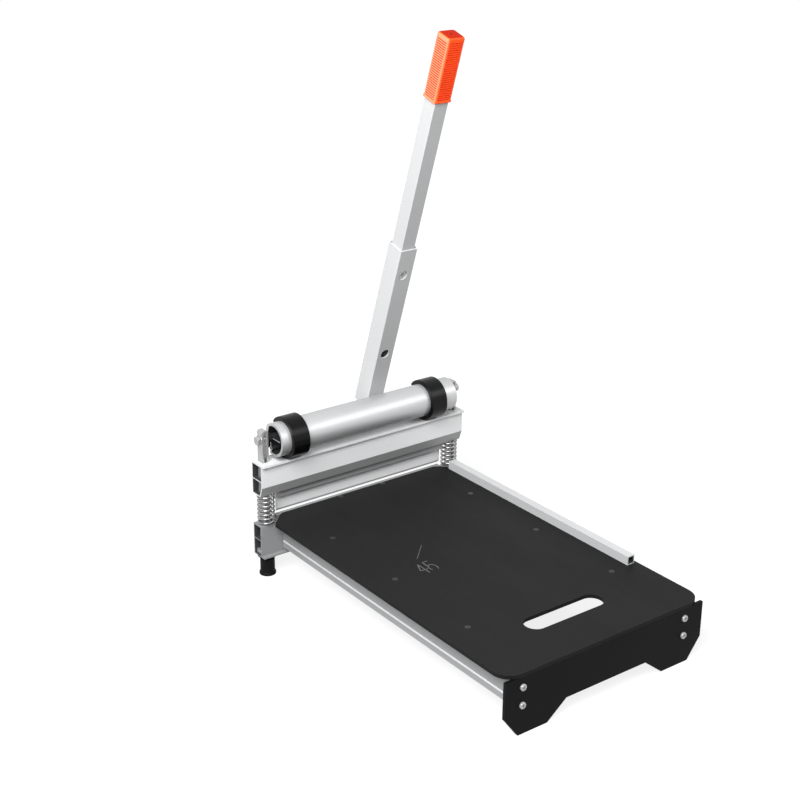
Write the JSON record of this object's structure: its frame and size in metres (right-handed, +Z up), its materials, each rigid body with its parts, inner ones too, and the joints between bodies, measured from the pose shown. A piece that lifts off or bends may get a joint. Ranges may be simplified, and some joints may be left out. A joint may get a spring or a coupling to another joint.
{
  "type": "laminate cutter",
  "caption": "Bench laminate cutter: a telescopic lever turns an eccentric roller that presses a sprung upper beam and its blade down onto a flat table with a side fence.",
  "frame": {"origin": "on the floor, in the middle of the cutter's length and width as it stands at rest", "axes": "+Z up; +X from the beams out along the table; +Y along the beams, towards the guide fence"},
  "size_m": [0.6218, 0.391, 0.8376],
  "materials": {
    "satin_aluminium": "extruded, fine matt satin with faint lengthwise drawing lines",
    "anvil_aluminium": "bright milled",
    "grey_steel": "dark grey, satin",
    "black_board": "fibreboard with a matt charcoal laminate",
    "black_steel": "fine black powder coat",
    "black_band": "glossy black moulding",
    "blade_steel": "ground tool steel",
    "zinc_steel": "bright zinc plate",
    "black_screw": "black oxide",
    "black_rubber": "moulded, matt",
    "nylon": "moulded black nylon",
    "orange_grip": "soft ribbed moulding, satin"
  },
  "bodies": {
    "base": {"lower_beam": "satin_aluminium", "anvil_strip": "anvil_aluminium", "table_board": "black_board", "near_side_rail": "satin_aluminium", "far_side_rail": "satin_aluminium", "rail_bolts": "zinc_steel", "end_plate": "black_steel", "end_plate_screws": "zinc_steel", "board_screws": "black_screw", "guide_fence": "satin_aluminium", "fence_screws": "zinc_steel", "near_foot": "black_rubber", "far_foot": "black_rubber", "foot_washers": "black_rubber", "foot_lock_nuts": "zinc_steel", "foot_bolts": "zinc_steel", "near_hanger": "zinc_steel", "far_hanger": "zinc_steel", "hanger_anchors": "zinc_steel", "near_pivot_bolt": "zinc_steel", "far_pivot_bolt": "zinc_steel", "pivot_washers": "zinc_steel", "pivot_spacers": "nylon", "near_return_spring": "zinc_steel", "far_return_spring": "zinc_steel"},
    "blade_beam": {"upper_beam": "satin_aluminium", "cutting_blade": "blade_steel", "blade_clamp_bar": "grey_steel", "blade_screws": "zinc_steel"},
    "handle": {"cam_roller": "satin_aluminium", "near_wear_band": "black_band", "far_wear_band": "black_band", "handle_outer_tube": "satin_aluminium", "handle_lug": "anvil_aluminium", "handle_bolts": "zinc_steel", "tube_mouth_liner": "nylon"},
    "handle_extension": {"handle_inner_tube": "satin_aluminium", "inner_tube_shoe": "nylon", "extension_lock_block": "zinc_steel", "extension_lock_screw": "zinc_steel", "handle_grip": "orange_grip"}
  },
  "joints": [
    {"name": "handle_swing", "type": "hinge", "parent": "base", "child": "handle", "pos_m": [-0.26197, 0, 0.229], "axis": [0, 1, 0], "range_deg": [-63, 43.8]},
    {"name": "blade_press", "type": "slide", "parent": "base", "child": "blade_beam", "axis": [0, 0, -1], "range_m": [-0.0075, 0.0052], "stiffness_N_per_m": 17000, "springref_m": -0.0137, "deforming": ["near_return_spring", "far_return_spring"]},
    {"name": "extension_slide", "type": "slide", "parent": "handle", "child": "handle_extension", "axis": [0.313, 0, 0.9498], "range_m": [-0.147, 0]}
  ],
  "couplings": [
    {"joint": "blade_press", "follows": "handle_swing", "m_per_rad": 0.0068}
  ]
}
